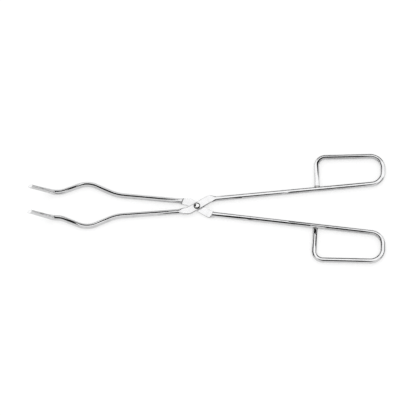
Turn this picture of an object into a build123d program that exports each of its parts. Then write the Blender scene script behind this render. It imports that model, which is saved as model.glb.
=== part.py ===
from build123d import *
import math
import os

# Crucible tongs: two bent round wires, half-lapped and riveted where they cross.
# Origin on the pivot axis, at the level that the wires rest on. +X towards the
# finger loops, -X towards the jaws, +Z up, the side that the jaw tips turn up to.
# A reach is measured along X from the pivot, an offset sideways from the X axis.
# The bends are given by the corners where the wire's straight runs would meet.

# Wire
wire_diameter = 4.5

# Jaw: waist, bow, root, and the knee that turns the tip up. A run is measured
# along X from the corner before it.
waist_reach = 68.9
waist_offset = 9.3
waist_radius = 37.0
bow_run = 24.6
bow_offset = 20.2
bow_radius = 19.0
root_run = 22.6
root_offset = 11.4
root_radius = 16.0
knee_run = 6.3
knee_radius = 4.6

# Jaw tip: flattened, and serrated on the face towards the other jaw
tip_run = 20.0
tip_offset = 11.2
tip_angle = 43.0
tip_straight_length = 0.3
tip_blend_length = 4.0
tip_root_width = 5.2
tip_root_thickness = 4.1
tip_end_width = 5.6
tip_end_thickness = 3.1
tip_edge_radius = 0.5
face_depth = 1.2
face_setback = 3.0
serration_pitch = 1.1
serration_depth = 0.35
serration_margin = 0.9

# Half lap at the pivot
blade_angle = 31.0
front_blade_length = 7.9
rear_blade_length = 12.5
blade_radius = 6.0
pad_width = 6.7
pad_rim_radius = 0.7
pad_fade_length = 3.6
front_shoulder_radius = 13.2
rear_shoulder_radius = 14.5
lap_clearance = 0.06

# Rivet
rivet_diameter = 3.0
rivet_head_diameter = 5.0
rivet_head_height = 0.9
rivet_tail_flare = 0.7
rivet_tail_depth = 0.8
rivet_tail_recess = 0.1
rivet_tight_fit = 0.02
rivet_running_fit = 0.05

# Finger loops
handle_angle = 6.2
loop_end_reach = 159.1
loop_end_radius = 10.8
loop_rear_offset = 46.8
loop_corner_radius = 7.5
upper_loop_front_offset = 44.7
upper_leg_reach = 102.8
upper_leg_lean = 1.5
lower_loop_front_offset = 46.1
lower_leg_reach = 101.4
lower_leg_lean = 2.6

# Welds that close the loops
weld_root_gap = 0.3
weld_inset = 0.2

# The two arms, named for the place of their pads. The sign is the side of the
# X axis that the arm's handle lies on: its jaw lies on the other side.
UPPER = 1
LOWER = -1

wire_radius = wire_diameter / 2
bow_reach = waist_reach + bow_run
root_reach = bow_reach + root_run
knee_reach = root_reach + knee_run
tip_reach = knee_reach + tip_run


def on_arm(side, reach, offset, height=0.0):
    """A point on an arm's centre line, at a height above the plane of the wires' centres."""
    return Vector(reach, side * offset, wire_radius + height)


def toward(start, end, distance):
    """The point at a distance from start in the direction of end."""
    return start + (end - start).normalized() * distance


def blade_direction(side):
    """Direction of the slanted blade, from the jaw to the handle."""
    angle = math.radians(blade_angle)
    return Vector(math.cos(angle), side * math.sin(angle), 0)


def blade_point(side, distance):
    """A point on the blade, at a distance behind the pivot."""
    return on_arm(side, 0, 0) + blade_direction(side) * distance


def waist_point(side):
    """Corner where the front run turns out into the jaw's bow."""
    return on_arm(side, -waist_reach, -waist_offset)


def knee_point(side):
    """Corner where the jaw tip turns up, on the straight line from root to tip in plan."""
    share = knee_run / (knee_run + tip_run)
    return on_arm(side, -knee_reach, -root_offset - share * (tip_offset - root_offset))


def tip_end_point(side):
    """End of the jaw tip's axis."""
    return on_arm(side, -tip_reach, -tip_offset, tip_run * math.tan(math.radians(tip_angle)))


def tip_start_point(side):
    """Where the round wire ends and the flattened tip begins, just past the knee."""
    knee_length = knee_radius * math.tan(math.radians(tip_angle) / 2)
    return toward(knee_point(side), tip_end_point(side), knee_length + tip_straight_length)


def handle_point(side, reach):
    """A point on the straight run from the blade to the finger loop."""
    start = blade_point(side, rear_blade_length)
    spread = (reach - start.X) * math.tan(math.radians(handle_angle))
    return on_arm(side, reach, abs(start.Y) + spread)


def leg_points(side):
    """Where the leg's axis meets the handle's centre line, and the loop's corner above it."""
    if side == UPPER:
        reach, lean, offset = upper_leg_reach, upper_leg_lean, upper_loop_front_offset
    else:
        reach, lean, offset = lower_leg_reach, lower_leg_lean, lower_loop_front_offset
    foot = handle_point(side, reach)
    drift = (offset - abs(foot.Y)) * math.tan(math.radians(lean))
    return foot, on_arm(side, reach - drift, offset)


def leg_end_point(side):
    """Centre of the leg's flat end, a root gap away from the handle wire."""
    foot, corner = leg_points(side)
    crossing = math.radians((corner - foot).get_angle(handle_point(side, loop_end_reach) - foot))
    return toward(foot, corner, (wire_radius + weld_root_gap) / math.sin(crossing))


def fitted_radii(points, radii):
    """The radius of each bend, or less where the straight runs beside it are too short."""
    runs = [end - start for start, end in zip(points, points[1:])]
    room = [run.length / 2 for run in runs]
    room[0] = runs[0].length
    room[-1] = runs[-1].length
    tangent_share = 0.98
    fitted = []
    for index, radius in enumerate(radii):
        half_turn = math.radians(runs[index].get_angle(runs[index + 1])) / 2
        tangent = tangent_share * min(room[index], room[index + 1])
        fitted.append(min(radius, tangent / math.tan(half_turn)))
    return fitted


def centre_line(side):
    """Centre line of an arm's round wire, from the jaw tip to the end of the loop's leg."""
    points = [
        tip_start_point(side),
        knee_point(side),
        on_arm(side, -root_reach, -root_offset),
        on_arm(side, -bow_reach, -bow_offset),
        waist_point(side),
        blade_point(side, -front_blade_length),
        blade_point(side, rear_blade_length),
        handle_point(side, loop_end_reach),
        on_arm(side, loop_end_reach, loop_rear_offset),
        leg_points(side)[1],
        leg_end_point(side),
    ]
    radii = [
        knee_radius,
        root_radius,
        bow_radius,
        waist_radius,
        blade_radius,
        blade_radius,
        loop_end_radius,
        loop_end_radius,
        loop_corner_radius,
    ]
    return FilletPolyline(*points, radius=fitted_radii(points, radii))


def bent_wire(side):
    """The round wire of an arm, bent along its centre line."""
    path = centre_line(side)
    return sweep(Plane(path @ 0, z_dir=path % 0) * Circle(wire_radius), path=path)


def pad_levels(side):
    """Lowest and highest level of an arm's pressed pad."""
    if side == UPPER:
        return wire_radius + lap_clearance / 2, wire_diameter
    return 0.0, wire_radius - lap_clearance / 2


def pad_outline(side):
    """Plan of the pad: full width along the blade, fading into the wire at both ends."""
    front_bend = blade_point(side, -front_blade_length)
    rear_bend = blade_point(side, rear_blade_length)
    front_run = front_shoulder_radius - front_blade_length + pad_fade_length
    rear_run = rear_shoulder_radius - rear_blade_length + pad_fade_length
    front_end = toward(front_bend, waist_point(side), front_run)
    rear_end = toward(rear_bend, handle_point(side, loop_end_reach), rear_run)
    ends = [Pos(end.X, end.Y) * Circle(wire_radius) for end in (front_end, rear_end)]
    bends = [Pos(bend.X, bend.Y) * Circle(pad_width / 2) for bend in (front_bend, rear_bend)]
    blade = make_hull(bends[0].edges() + bends[1].edges())
    front_fade = make_hull(ends[0].edges() + bends[0].edges())
    rear_fade = make_hull(ends[1].edges() + bends[1].edges())
    return blade + front_fade + rear_fade


def pressed_pad(side):
    """The half-thickness pad, with a rounded rim on the face away from the other arm."""
    bottom, top = pad_levels(side)
    pad = extrude(Pos(0, 0, bottom) * pad_outline(side), amount=top - bottom)
    outer_level = top if side == UPPER else bottom
    rim = pad.edges().filter_by_position(Axis.Z, outer_level, outer_level)
    return fillet(rim, pad_rim_radius)


def lap_pocket(side):
    """The half of the wire that is pressed away, between shoulders curved about the pivot."""
    bottom, top = pad_levels(side)
    floor = bottom - wire_diameter if side == UPPER else top
    across = Plane(origin=(0, 0, floor), z_dir=blade_direction(side))
    front = split(Pos(0, 0, floor) * Circle(front_shoulder_radius), across, keep=Keep.BOTTOM)
    rear = split(Pos(0, 0, floor) * Circle(rear_shoulder_radius), across, keep=Keep.TOP)
    return extrude(front + rear, amount=wire_diameter)


def tip_length(side):
    """Length of the flattened jaw tip."""
    return (tip_end_point(side) - tip_start_point(side)).length


def tip_plane(side, distance):
    """Plane across the jaw tip: x towards the other jaw, z along the tip."""
    start = tip_start_point(side)
    end = tip_end_point(side)
    return Plane(origin=toward(start, end, distance), x_dir=(0, side, 0), z_dir=end - start)


def tip_blank(side):
    """The tip before its face is pressed: wire tapering to a flat oval, its end eased."""
    wire_end = tip_plane(side, 0) * Circle(wire_radius)
    root = tip_plane(side, tip_blend_length) * Ellipse(tip_root_thickness / 2, tip_root_width / 2)
    end_plane = tip_plane(side, tip_length(side))
    end = end_plane * Ellipse(tip_end_thickness / 2, tip_end_width / 2)
    blank = loft([wire_end, root]) + loft([root, end])
    end_face = blank.faces().sort_by(Axis(end_plane.origin, end_plane.z_dir))[-1]
    return fillet(end_face.edges(), tip_edge_radius)


def face_relief(side):
    """The metal pressed away in front of the tip's flat face."""
    outward = (Align.MIN, Align.CENTER, Align.MIN)
    relief = Box(wire_diameter, 2 * tip_end_width, tip_length(side), align=outward)
    return tip_plane(side, face_setback) * Pos(face_depth, 0, 0) * relief


def serrations(side):
    """V grooves across the tip's flat face."""
    vee = Polyline((0, -serration_depth), (-serration_depth, 0), (0, serration_depth), close=True)
    groove = Pos(face_depth, 0, 0) * extrude(Plane.XZ * make_face(vee), amount=tip_end_width, both=True)
    first = face_setback + serration_margin
    count = 1 + int((tip_length(side) - serration_margin - first) / serration_pitch)
    return [tip_plane(side, first + index * serration_pitch) * groove for index in range(count)]


def rivet_core(clearance):
    """Rivet shank and flared tail, enlarged by a clearance."""
    upward = (Align.CENTER, Align.CENTER, Align.MIN)
    radius = rivet_diameter / 2 + clearance
    shank = Cylinder(radius, wire_diameter + lap_clearance - rivet_tail_recess, align=upward)
    tail = Cone(radius + rivet_tail_flare, radius, rivet_tail_depth, align=upward)
    return Pos(0, 0, rivet_tail_recess) * (shank + tail)


def rivet_hole(side):
    """The arm's rivet hole: a running fit in the upper pad, tight and countersunk in the lower."""
    if side == UPPER:
        return Cylinder(rivet_diameter / 2 + rivet_running_fit, 2 * wire_diameter + lap_clearance)
    mouth = Cylinder(rivet_diameter / 2 + rivet_tail_flare + rivet_tight_fit, 2 * rivet_tail_recess)
    return rivet_core(rivet_tight_fit) + mouth


def pivot_rivet():
    """Rivet with a low domed head over the upper pad."""
    radius = rivet_head_diameter / 2
    dome_radius = (radius**2 + rivet_head_height**2) / (2 * rivet_head_height)
    seat = wire_diameter + lap_clearance
    dome = Pos(0, 0, seat + rivet_head_height - dome_radius) * Sphere(dome_radius)
    head = split(dome, Plane.XY.offset(seat), keep=Keep.TOP)
    return rivet_core(0) + head


def arm(side):
    """One arm: jaw tip, bent wire, half-lapped pad with its rivet hole, and finger loop."""
    tip = tip_blank(side) - face_relief(side) - serrations(side)
    wire = bent_wire(side) - lap_pocket(side)
    return wire + pressed_pad(side) + tip - rivet_hole(side)


def loop_weld(side):
    """Weld nugget between the leg's flat end and the flank of the handle wire."""
    leg_end = leg_end_point(side)
    to_handle = leg_points(side)[0] - leg_end
    section = Plane(origin=leg_end, z_dir=to_handle) * Circle(wire_radius - weld_inset)
    return extrude(section, amount=to_handle.length) - bent_wire(side)


pieces = {
    "lower_arm": arm(LOWER),
    "upper_arm": arm(UPPER),
    "pivot_rivet": pivot_rivet(),
    "lower_loop_weld": loop_weld(LOWER),
    "upper_loop_weld": loop_weld(UPPER),
}

os.makedirs("parts", exist_ok=True)
for name, piece in pieces.items():
    export_step(piece, f"parts/{name}.step")
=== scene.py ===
"""Crucible tongs: two polished steel wires, half-lapped and riveted, with serrated tips and finger loops.

Sizes are in millimetres, as on the drawing, and a mesh becomes metres when its object is made.
The frame has its origin on the pivot axis, +X towards the finger loops and +Z up.
"""

import logging
import math
from dataclasses import dataclass, field
from enum import Enum
from typing import Sequence

import bmesh
import bpy
import numpy as np
from mathutils import Matrix, Quaternion, Vector


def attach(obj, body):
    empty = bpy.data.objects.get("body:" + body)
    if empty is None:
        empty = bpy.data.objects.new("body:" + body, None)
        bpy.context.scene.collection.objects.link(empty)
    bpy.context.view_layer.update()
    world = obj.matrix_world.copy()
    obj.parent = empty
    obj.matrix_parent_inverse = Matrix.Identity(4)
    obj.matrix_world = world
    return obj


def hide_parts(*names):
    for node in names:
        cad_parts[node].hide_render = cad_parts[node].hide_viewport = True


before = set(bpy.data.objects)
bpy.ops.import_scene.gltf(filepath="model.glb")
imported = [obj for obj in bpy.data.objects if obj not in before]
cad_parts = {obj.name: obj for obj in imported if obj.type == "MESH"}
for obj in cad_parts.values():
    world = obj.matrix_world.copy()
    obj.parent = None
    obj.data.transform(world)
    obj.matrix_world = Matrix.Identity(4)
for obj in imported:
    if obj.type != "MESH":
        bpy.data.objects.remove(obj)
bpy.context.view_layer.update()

log = logging.getLogger("crucible_tongs")

MM = 0.001
PHOTO_PIXELS = 416
SHARP_EDGE = math.radians(38)
TOUCHING = 1e-6
PATH_SAMPLES = 4000
WHITE = (1.0, 1.0, 1.0, 1.0)

Socket = bpy.types.NodeSocket
Tree = bpy.types.NodeTree
Mesh = bpy.types.Mesh
Item = bpy.types.Object
Material = bpy.types.Material
Colour = tuple[float, float, float]
Place = tuple[float, float]
Numbers = np.ndarray | float
SocketValues = dict[str | int, object]


class Side(Enum):
    """One of the two arms; the value is the side of the X axis that its handle lies on."""

    UPPER = 1
    LOWER = -1

    @property
    def word(self) -> str:
        """The word that starts the names of this arm's pieces."""
        return self.name.lower()

    @property
    def body(self) -> str:
        """The moving body that carries this arm."""
        return f"{self.word}_body"


class Slot(Enum):
    """The record's material slots."""

    WIRE = "wire_steel"
    RIVET = "rivet_steel"
    WELD = "weld_metal"


def smooth_step(low: float, high: float, value: Numbers) -> Numbers:
    """Rise from 0 at low to 1 at high with flat ends.

    Args:
        low: Where the rise starts.
        high: Where the rise ends.
        value: The number or array to map.

    Returns:
        The share of the rise at each value.
    """
    share = np.clip((value - low) / (high - low), 0.0, 1.0)
    return share * share * (3.0 - 2.0 * share)


def mix(start: Numbers, end: Numbers, share: Numbers) -> Numbers:
    """The value that lies a share of the way from start to end."""
    return start + (end - start) * share


def rounding_steps(radius: float, count: int) -> list[float]:
    """Depths of the rings that round off an end."""
    return [radius * (1 - math.cos(turn)) for turn in np.linspace(0, math.pi / 2, count)]


@dataclass(frozen=True)
class WireSizes:
    """The round wire that both arms are bent from."""

    diameter: float = 4.5
    facets: int = 80

    @property
    def radius(self) -> float:
        """Half the wire's thickness."""
        return self.diameter / 2


@dataclass(frozen=True)
class JawSizes:
    """Corners and bend radii of the jaw, measured from the pivot along and across the tongs."""

    waist_reach: float = 68.9
    waist_offset: float = 9.3
    waist_radius: float = 37.0
    bow_run: float = 24.6
    bow_offset: float = 20.2
    bow_radius: float = 19.0
    root_run: float = 22.6
    root_offset: float = 11.4
    root_radius: float = 16.0
    knee_run: float = 6.3
    knee_radius: float = 4.6

    @property
    def bow_reach(self) -> float:
        """Reach of the bow's widest corner."""
        return self.waist_reach + self.bow_run

    @property
    def root_reach(self) -> float:
        """Reach of the corner behind the tip."""
        return self.bow_reach + self.root_run

    @property
    def knee_reach(self) -> float:
        """Reach of the corner that turns the tip up."""
        return self.root_reach + self.knee_run


@dataclass(frozen=True)
class TipSizes:
    """The flattened, serrated jaw tip. Thickness lies towards the other jaw, width across it."""

    run: float = 20.0
    offset: float = 11.2
    angle: float = 43.0
    straight_length: float = 0.3
    blend_length: float = 4.0
    root_width: float = 5.2
    root_thickness: float = 4.1
    end_width: float = 5.6
    end_thickness: float = 3.1
    end_rounding: float = 0.5
    face_depth: float = 1.2
    face_setback: float = 3.0
    face_ramp: float = 0.5
    face_columns: int = 9
    groove_pitch: float = 1.1
    groove_depth: float = 0.35
    groove_margin: float = 0.9
    crest_rounding: float = 0.06
    crest_shares: tuple[float, float] = (0.3, 0.1)
    tooth_root: float = 0.15
    tooth_rows: int = 13
    least_half: float = 0.05
    end_rings: int = 7
    ramp_rings: int = 7


@dataclass(frozen=True)
class LapSizes:
    """The pressed half lap at the pivot."""

    blade_angle: float = 31.0
    front_blade: float = 7.9
    rear_blade: float = 12.5
    blade_radius: float = 6.0
    pad_width: float = 6.7
    rim_radius: float = 0.7
    edge_radius: float = 0.15
    fade_length: float = 3.6
    settle_length: float = 6.0
    front_shoulder: float = 13.2
    rear_shoulder: float = 14.5
    shoulder_wall: float = 0.45
    clearance: float = 0.06
    fade_lead: float = 1.0
    least_land: float = 0.01
    edge_share: float = 0.45
    least_edge: float = 0.004
    face_swing: float = 84.0
    ledge_points: int = 4
    corner_points: int = 4
    rim_points: int = 12
    top_points: int = 8
    shoulder_band: float = 2.2
    press_fade: float = 2.0

    def shoulder_at(self, offset: float) -> float:
        """Distance from the pivot to the shoulder on an offset's side."""
        return self.rear_shoulder if offset > 0 else self.front_shoulder


@dataclass(frozen=True)
class RivetSizes:
    """The pivot rivet."""

    diameter: float = 3.0
    head_diameter: float = 5.0
    head_height: float = 0.9
    head_edge: float = 0.16
    tail_flare: float = 0.7
    tail_depth: float = 0.8
    tail_recess: float = 0.1
    tail_dish: float = 0.12
    tight_fit: float = 0.02
    running_fit: float = 0.05
    segments: int = 96
    tail_shares: tuple[float, ...] = (0.15, 0.4, 0.65, 0.85)
    tail_lip: float = 0.05
    tail_lip_rise: float = 0.01
    bevel_rise: float = 0.06
    head_bevel: float = 0.08
    dome_rings: int = 22
    dome_centre: float = 0.02
    drill_overrun: float = 1.0


@dataclass(frozen=True)
class LoopSizes:
    """A finger loop; the two arms differ in their front corners and legs."""

    front_offset: float
    leg_reach: float
    leg_lean: float
    handle_angle: float = 6.2
    end_reach: float = 159.1
    end_radius: float = 10.8
    rear_offset: float = 46.8
    corner_radius: float = 7.5


LOOPS: dict[Side, LoopSizes] = {
    Side.UPPER: LoopSizes(front_offset=44.7, leg_reach=102.8, leg_lean=1.5),
    Side.LOWER: LoopSizes(front_offset=46.1, leg_reach=101.4, leg_lean=2.6),
}


@dataclass(frozen=True)
class WeldSizes:
    """The weld between the end of a loop's leg and the handle wire."""

    root_gap: float = 0.3
    inset: float = 0.2
    leg_upset: float = 0.1
    upset_length: float = 1.4
    end_rounding: float = 0.22
    bead_height: float = 0.12
    ripple_height: float = 0.05
    ripples: int = 11
    segments: int = 66
    ring_shares: tuple[float, ...] = (-0.35, 0.0, 0.12, 0.28, 0.45, 0.6, 0.75, 0.9, 1.0, 1.6)
    least_flank: float = 0.3
    leg_step: float = 0.4
    end_rings: int = 6


@dataclass(frozen=True)
class PaintedShadeAndScaleSizes:
    """Where the dark marks lie, in millimetres and shares of full darkness: painted shade round the rivet
    head, at the shoulders' foot and between the teeth, weld scale on the bead, and both at the leg's end.
    """

    # The ring, foot, facing, lap, tooth and head sizes place painted shade; the leg sizes place weld scale
    # with painted shade of the seam gap; the bead sizes place weld scale.
    ring_outer: float = 0.6
    ring_inner: float = 0.15
    foot_offset: float = 0.1
    foot_width: float = 0.25
    facing_share: float = 0.25
    lap_reach: float = 20.0
    leg_run: float = 0.5
    leg_share: float = 0.6
    tooth_top: float = 0.12
    tooth_share: float = 0.55
    bead_start: float = 0.55
    bead_end: float = 0.95
    head_outer: float = 0.65
    head_inner: float = 0.25


PAINTED_SHADE_AND_SCALE = PaintedShadeAndScaleSizes()


@dataclass(frozen=True)
class Station:
    """A place on a bent wire: its centre and the directions along, across and over the wire."""

    distance: float
    centre: Vector
    along: Vector

    @property
    def across(self) -> Vector:
        """Level direction across the wire."""
        return Vector((0.0, 0.0, 1.0)).cross(self.along).normalized()

    @property
    def over(self) -> Vector:
        """Direction across the wire on its upper side."""
        return self.along.cross(self.across)


@dataclass(frozen=True)
class StraightSpan:
    """A straight stretch of a bent wire."""

    start: Vector
    along: Vector
    length: float

    def at(self, distance: float) -> tuple[Vector, Vector]:
        """Centre and direction at a distance from the span's start."""
        return self.start + self.along * distance, self.along

    def ring_step(self, plain_step: float, bend_step: float) -> float:
        """Distance between rings on this span."""
        return plain_step


@dataclass(frozen=True)
class BendSpan:
    """A round bend of a bent wire."""

    centre: Vector
    axis: Vector
    spoke: Vector
    along: Vector
    angle: float

    @property
    def length(self) -> float:
        """Length of the bend's arc."""
        return self.spoke.length * self.angle

    def at(self, distance: float) -> tuple[Vector, Vector]:
        """Centre and direction at a distance from the span's start."""
        turn = Quaternion(self.axis, distance / self.spoke.length)
        return self.centre + turn @ self.spoke, turn @ self.along

    def ring_step(self, plain_step: float, bend_step: float) -> float:
        """Distance between rings on this span, for a turn of bend_step radians."""
        return min(plain_step, self.spoke.length * bend_step)


class BentPath:
    """Centre line of a wire: straight runs joined by round bends, measured from its start."""

    def __init__(self, corners: Sequence[Vector], radii: Sequence[float]) -> None:
        """Builds the spans.

        Args:
            corners: The start, each corner where two runs would meet, and the end.
            radii: The bend radius at each inner corner.
        """
        self.spans: list[StraightSpan | BendSpan] = []
        self.starts: list[float] = []
        self.length = 0.0
        cursor = corners[0]
        for before, corner, after, radius in zip(corners, corners[1:], corners[2:], radii):
            incoming = (corner - before).normalized()
            outgoing = (after - corner).normalized()
            angle = incoming.angle(outgoing)
            tangent = radius * math.tan(angle / 2)
            bend_start = corner - incoming * tangent
            self._add(StraightSpan(cursor, incoming, (bend_start - cursor).length))
            axis = incoming.cross(outgoing).normalized()
            inward = axis.cross(incoming)
            self._add(BendSpan(bend_start + inward * radius, axis, -inward * radius, incoming, angle))
            cursor = corner + outgoing * tangent
        final = corners[-1] - cursor
        self._add(StraightSpan(cursor, final.normalized(), final.length))

    def _add(self, span: StraightSpan | BendSpan) -> None:
        """Appends a span and notes where it starts."""
        self.spans.append(span)
        self.starts.append(self.length)
        self.length += span.length

    def station(self, distance: float) -> Station:
        """The station at a distance from the path's start."""
        index = max(i for i, start in enumerate(self.starts) if start <= distance or i == 0)
        centre, along = self.spans[index].at(distance - self.starts[index])
        return Station(distance, centre, along)

    def even_rings(self, plain_step: float, bend_step: float) -> list[float]:
        """Distances of rings that suit each span.

        Args:
            plain_step: Distance between rings on a straight run.
            bend_step: Turn between rings in a bend, in radians.

        Returns:
            The distances, from the start to the end of the path.
        """
        rings = [self.length]
        for start, span in zip(self.starts, self.spans):
            count = max(1, math.ceil(span.length / span.ring_step(plain_step, bend_step)))
            rings += [start + span.length * index / count for index in range(count)]
        return rings

    def nearest_to_origin(self) -> float:
        """Distance along the path to the station nearest the pivot axis."""
        samples = np.linspace(0.0, self.length, PATH_SAMPLES)
        reach = [self.station(sample).centre.xy.length for sample in samples]
        coarse = samples[int(np.argmin(reach))]
        station = self.station(coarse)
        return coarse - station.centre.xy.dot(station.along.xy)


class NodeSketch:
    """Adds nodes to a tree and joins them, so that a tree reads from its source to its output."""

    def __init__(self, tree: Tree) -> None:
        """Starts on an emptied tree.

        Args:
            tree: The geometry or shader tree to fill.
        """
        self.tree = tree
        tree.nodes.clear()

    def add(self, kind: str, values: SocketValues | None = None, **settings: object) -> bpy.types.Node:
        """Adds a node.

        Args:
            kind: The node's type name.
            values: Input sockets by name or number, each with a value or a socket to join.
            **settings: Properties of the node, set before its inputs.

        Returns:
            The new node.
        """
        node = self.tree.nodes.new(kind)
        for key, value in settings.items():
            setattr(node, key, value)
        for key, value in (values or {}).items():
            self.put(node.inputs[key], value)
        return node

    def put(self, socket: Socket, value: object) -> None:
        """Joins a socket to another, or gives it a plain value."""
        if isinstance(value, Socket):
            self.tree.links.new(value, socket)
        else:
            socket.default_value = value

    def math(self, operation: str, *values: float | Socket, clamp: bool = False) -> Socket:
        """Adds a Math node that suits the kind of tree, and returns its result."""
        node = self.add("ShaderNodeMath", operation=operation, use_clamp=clamp)
        for socket, value in zip(node.inputs, values):
            self.put(socket, value)
        return node.outputs[0]

    def vector_math(self, operation: str, *values: object) -> Socket:
        """Adds a Vector Math node and returns its vector."""
        node = self.add("ShaderNodeVectorMath", operation=operation)
        for socket, value in zip(node.inputs, values):
            self.put(socket, value)
        return node.outputs[0]

    def vector(self, x: float | Socket, y: float | Socket, z: float | Socket) -> Socket:
        """Joins three numbers to a vector."""
        return self.add("ShaderNodeCombineXYZ", {0: x, 1: y, 2: z}).outputs[0]

    def ramp(self, value: Socket, low: float | Socket, high: float | Socket) -> Socket:
        """Maps a value to a smooth rise from 0 at low to 1 at high."""
        node = self.add("ShaderNodeMapRange", interpolation_type="SMOOTHSTEP", clamp=True)
        for name, number in (("Value", value), ("From Min", low), ("From Max", high)):
            self.put(node.inputs[name], number)
        return node.outputs["Result"]

    def window(self, value: Socket, low: float, high: float, softness: float) -> Socket:
        """1 between low and high, with soft edges that lie outside them."""
        rise = self.ramp(value, low - softness, low)
        fall = self.ramp(value, high, high + softness)
        return self.math("SUBTRACT", rise, fall)

    def blend(self, share: Socket, start: object, end: object) -> Socket:
        """Mixes two colours by a share."""
        node = self.add("ShaderNodeMix", data_type="RGBA")
        self.put(node.inputs["Factor"], share)
        self.put(node.inputs[6], start)
        self.put(node.inputs[7], end)
        return node.outputs[2]


def add_sockets(tree: Tree, direction: str, sockets: dict[str, str]) -> None:
    """Gives a tree its named inputs or outputs.

    Args:
        tree: The node tree.
        direction: INPUT or OUTPUT.
        sockets: Socket names, each with its socket type.
    """
    for name, kind in sockets.items():
        tree.interface.new_socket(name=name, in_out=direction, socket_type=kind)


def grown_mesh(carrier: Item, tree: Tree, values: SocketValues) -> Mesh:
    """Runs a geometry tree on a carrier object and keeps the result as a plain mesh.

    Args:
        carrier: The object that the tree starts from; it is removed afterwards.
        tree: The geometry tree.
        values: The tree's inputs by name.

    Returns:
        The mesh that the tree grows.
    """
    modifier = carrier.modifiers.new(tree.name, "NODES")
    modifier.node_group = tree
    for item in tree.interface.items_tree:
        if item.item_type == "SOCKET" and item.in_out == "INPUT" and item.name in values:
            modifier[item.identifier] = values[item.name]
    depsgraph = bpy.context.evaluated_depsgraph_get()
    mesh = bpy.data.meshes.new_from_object(carrier.evaluated_get(depsgraph), depsgraph=depsgraph)
    carrier.modifiers.remove(modifier)
    bpy.data.objects.remove(carrier)
    return mesh


def placed_object(name: str, data: bpy.types.ID) -> Item:
    """Makes an object for a mesh, a curve or a camera, at the origin of the scene."""
    data.name = name
    item = bpy.data.objects.new(name, data)
    bpy.context.scene.collection.objects.link(item)
    return item


def dress(mesh: Mesh, material: Material) -> None:
    """Gives a mesh its one material, smooth faces and sharp edges where it is creased."""
    mesh.materials.clear()
    mesh.materials.append(material)
    mesh.polygons.foreach_set("material_index", np.zeros(len(mesh.polygons), dtype=np.int32))
    mesh.polygons.foreach_set("use_smooth", np.ones(len(mesh.polygons), dtype=bool))
    mesh.set_sharp_from_angle(angle=SHARP_EDGE)
    mesh.update()


def vertex_places(mesh: Mesh) -> np.ndarray:
    """The places of a mesh's vertices, in millimetres."""
    places = np.empty(len(mesh.vertices) * 3)
    mesh.vertices.foreach_get("co", places)
    return places.reshape(-1, 3) / MM


def mark_surface(mesh: Mesh, unbent: np.ndarray, pressed: np.ndarray, residue: np.ndarray) -> None:
    """Stores what the finishes read at each vertex.

    Args:
        mesh: The piece's mesh.
        unbent: Place on the unbent piece, in millimetres.
        pressed: 1 where a press has worked the steel.
        residue: 1 where the dark mark lies: painted shade in crevices and grooves, and weld scale.
    """
    places = mesh.attributes.new("unbent", "FLOAT_VECTOR", "POINT").data
    places.foreach_set("vector", unbent.astype(np.float32).ravel())
    for name, values in (("pressed", pressed), ("residue", residue)):
        mask = mesh.attributes.new(name, "FLOAT", "POINT").data
        mask.foreach_set("value", values.astype(np.float32).ravel())


def built_mesh(name: str, builder: bmesh.types.BMesh, outward: bool) -> Mesh:
    """Ends a builder with a mesh of its faces.

    Args:
        name: The mesh's name.
        builder: The builder, which is freed.
        outward: Whether the faces still have to be turned outward.

    Returns:
        The mesh.
    """
    if outward:
        bmesh.ops.recalc_face_normals(builder, faces=builder.faces)
    mesh = bpy.data.meshes.new(name)
    builder.to_mesh(mesh)
    builder.free()
    return mesh


def solid_of_rings(rings: np.ndarray, outward: bool = False) -> Mesh:
    """Closes a stack of rings to a solid with a point fan at each end.

    Args:
        rings: Vertex places as rings by vertices by 3, in millimetres, counterclockwise seen
            from the end that the stack grows towards.
        outward: Whether the faces have to be turned outward, for rings in the other order.

    Returns:
        A closed mesh in metres with its faces outward.
    """
    builder = bmesh.new()
    rows = [[builder.verts.new(point * MM) for point in ring] for ring in rings]
    for lower, upper in zip(rows, rows[1:]):
        for index in range(len(lower)):
            following = (index + 1) % len(lower)
            builder.faces.new((lower[index], lower[following], upper[following], upper[index]))
    for row, ring, flip in ((rows[0], rings[0], True), (rows[-1], rings[-1], False)):
        hub = builder.verts.new(ring.mean(axis=0) * MM)
        for index in range(len(row)):
            pair = (row[index], row[(index + 1) % len(row)])
            builder.faces.new((pair[1], pair[0], hub) if flip else (pair[0], pair[1], hub))
    return built_mesh("solid", builder, outward)


def blank_material(name: str) -> tuple[Material, NodeSketch]:
    """Starts a material with an empty shader tree."""
    material = bpy.data.materials.new(name)
    material.use_nodes = True
    return material, NodeSketch(material.node_tree)


def mottled(sketch: NodeSketch, colour: Colour, factor: float, scale: float) -> Socket:
    """A colour that noise mixes with the same colour times a factor."""
    place = sketch.add("ShaderNodeTexCoord").outputs["Object"]
    noise = sketch.add("ShaderNodeTexNoise", {"Vector": place, "Scale": scale, "Detail": 2.0})
    other = tuple(channel * factor for channel in colour)
    return sketch.blend(noise.outputs[0], (*colour, 1.0), (*other, 1.0))


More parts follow.
